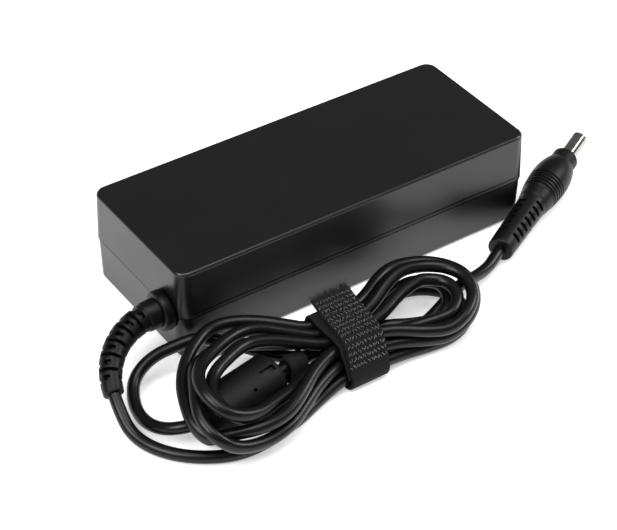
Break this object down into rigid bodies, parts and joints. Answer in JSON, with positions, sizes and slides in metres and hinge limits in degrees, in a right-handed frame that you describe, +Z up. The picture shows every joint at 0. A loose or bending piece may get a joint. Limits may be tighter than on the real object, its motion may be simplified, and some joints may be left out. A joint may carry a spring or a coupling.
{
  "type": "laptop power adapter",
  "caption": "Brick-shaped laptop power adapter with a mains inlet, and its low-voltage lead wound in a tied hank with ferrite and barrel plug.",
  "frame": {"origin": "middle of the brick's underside, on the surface that it stands on", "axes": "+X along the brick's length towards the mains inlet; +Z up, across the brick's thickness; -Y towards the long side where the wound cord lies"},
  "size_m": [0.1979, 0.1014, 0.0327],
  "materials": {
    "casing": "satin",
    "cord_jacket": "gloss",
    "soft_moulding": "satin",
    "cover_plastic": "satin",
    "hook_and_loop": "matte",
    "plated_metal": "polished",
    "inlet_plastic": "satin",
    "tinned_brass": "satin",
    "board_laminate": "satin",
    "aluminium_sheet": "satin",
    "insulating_film": "matte",
    "silicone_pad": "matte",
    "epoxy_package": "matte",
    "ferrite_ceramic": "matte",
    "enamelled_wire": "gloss",
    "capacitor_sleeve": "gloss",
    "film_capacitor": "gloss",
    "disc_coating": "satin",
    "glass_fuse": "gloss",
    "bobbin_plastic": "matte",
    "winding_tape": "satin",
    "steel_screw": "satin",
    "white_plastic": "satin"
  },
  "bodies": {
    "root": {"upper_shell": "casing", "lower_shell": "casing", "insulation_sheet": "insulating_film", "lower_heat_spreader": "aluminium_sheet", "upper_heat_spreader": "aluminium_sheet", "thermal_pad": "silicone_pad", "circuit_board": "board_laminate", "ac_inlet_body": "inlet_plastic", "inlet_pins": "tinned_brass", "fuse": "glass_fuse", "x_capacitor": "film_capacitor", "thermistor": "disc_coating", "varistor": "disc_coating", "choke_core": "ferrite_ceramic", "choke_windings": "enamelled_wire", "bridge_rectifier": "epoxy_package", "primary_heat_sink": "aluminium_sheet", "secondary_heat_sink": "aluminium_sheet", "switching_transistor": "epoxy_package", "output_rectifier": "epoxy_package", "heat_sink_screws": "steel_screw", "bulk_capacitor": "capacitor_sleeve", "transformer_core": "ferrite_ceramic", "transformer_bobbin": "bobbin_plastic", "transformer_winding": "winding_tape", "optocoupler": "white_plastic", "safety_capacitor": "disc_coating", "controller_chip": "epoxy_package", "small_parts": "disc_coating", "output_capacitors": "capacitor_sleeve", "output_choke": "enamelled_wire", "output_wires": "cord_jacket", "cord_gland": "soft_moulding", "cord_lead_out": "cord_jacket", "cord_hank": "cord_jacket", "cord_to_plug": "cord_jacket", "ferrite_core": "ferrite_ceramic", "ferrite_cover": "cover_plastic", "cable_tie": "hook_and_loop", "tie_holding_loop": "hook_and_loop", "plug_handle": "soft_moulding", "plug_collar": "cover_plastic", "plug_barrel": "plated_metal", "plug_insulator": "white_plastic", "plug_contact": "tinned_brass"}
  },
  "joints": []
}
